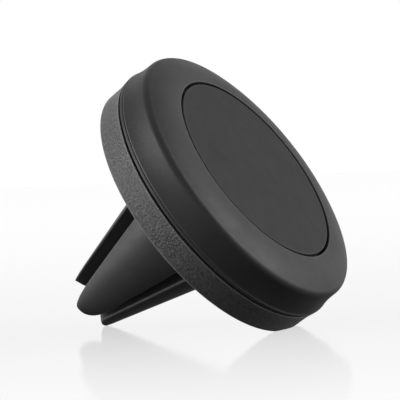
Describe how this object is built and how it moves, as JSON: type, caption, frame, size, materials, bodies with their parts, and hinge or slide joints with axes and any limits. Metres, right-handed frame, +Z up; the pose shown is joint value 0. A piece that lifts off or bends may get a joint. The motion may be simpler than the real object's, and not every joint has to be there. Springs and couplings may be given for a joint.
{
  "type": "magnetic phone mount for a car air vent",
  "caption": "Round magnetic phone holder with a flat face pad and a tapered cross-slotted clip that pushes onto a car's air vent louvre.",
  "frame": {"origin": "centre of the bounding box's footprint, on the floor that the rim and one prong rest on", "axes": "+Z up; +X across the head, its widest way; the pad faces -Y and up, and the clip points to +Y and down"},
  "size_m": [0.044, 0.0428, 0.0405],
  "materials": {
    "soft_touch": "soft-touch matte black, fine grain",
    "pad": "flat matte black",
    "adhesive": "translucent double-sided tape",
    "inner_plastic": "plain moulded",
    "magnet": "nickel plated",
    "zinc": "zinc plated",
    "foam": "closed-cell foam",
    "spark_texture": "spark-eroded texture, satin black",
    "black_steel": "black oxide",
    "clip_rubber": "satin-matte black"
  },
  "bodies": {
    "head": {"case_screw_1": "black_steel", "case_screw_2": "black_steel", "case_screw_3": "black_steel", "case_screw_4": "black_steel", "clip_base": "clip_rubber", "clip_screw_1": "black_steel", "clip_screw_2": "black_steel", "clip_screw_3": "black_steel", "clip_screw_4": "black_steel", "face_pad": "pad", "foam_ring": "foam", "front_cover": "soft_touch", "magnet_1": "magnet", "magnet_2": "magnet", "magnet_3": "magnet", "magnet_4": "magnet", "magnet_tray": "inner_plastic", "pad_adhesive": "adhesive", "rear_cover": "spark_texture", "yoke_ring": "zinc"},
    "prong_lower": {"prong_core_lower": "inner_plastic", "prong_grip_lower": "clip_rubber"},
    "prong_right": {"prong_core_right": "inner_plastic", "prong_grip_right": "clip_rubber"},
    "prong_upper": {"prong_core_upper": "inner_plastic", "prong_grip_upper": "clip_rubber"},
    "prong_left": {"prong_core_left": "inner_plastic", "prong_grip_left": "clip_rubber"}
  },
  "joints": [
    {"name": "prong_lower_flex", "type": "hinge", "parent": "head", "child": "prong_lower", "pos_m": [0.00081, -0.00387, 0.00976], "axis": [-0.9945, -0.0574, -0.0873], "range_deg": [-0.5, 5], "stiffness_Nm_per_rad": 0.3},
    {"name": "prong_right_flex", "type": "hinge", "parent": "head", "child": "prong_right", "pos_m": [0.00748, 0.00066, 0.01665], "axis": [0.1045, -0.5465, -0.8309], "range_deg": [-0.5, 5], "stiffness_Nm_per_rad": 0.3},
    {"name": "prong_upper_flex", "type": "hinge", "parent": "head", "child": "prong_upper", "pos_m": [-0.00076, 0.00433, 0.02222], "axis": [0.9945, 0.0574, 0.0873], "range_deg": [-0.5, 5], "stiffness_Nm_per_rad": 0.3},
    {"name": "prong_left_flex", "type": "hinge", "parent": "head", "child": "prong_left", "pos_m": [-0.00743, -0.0002, 0.01533], "axis": [-0.1045, 0.5465, 0.8309], "range_deg": [-0.5, 5], "stiffness_Nm_per_rad": 0.3}
  ]
}
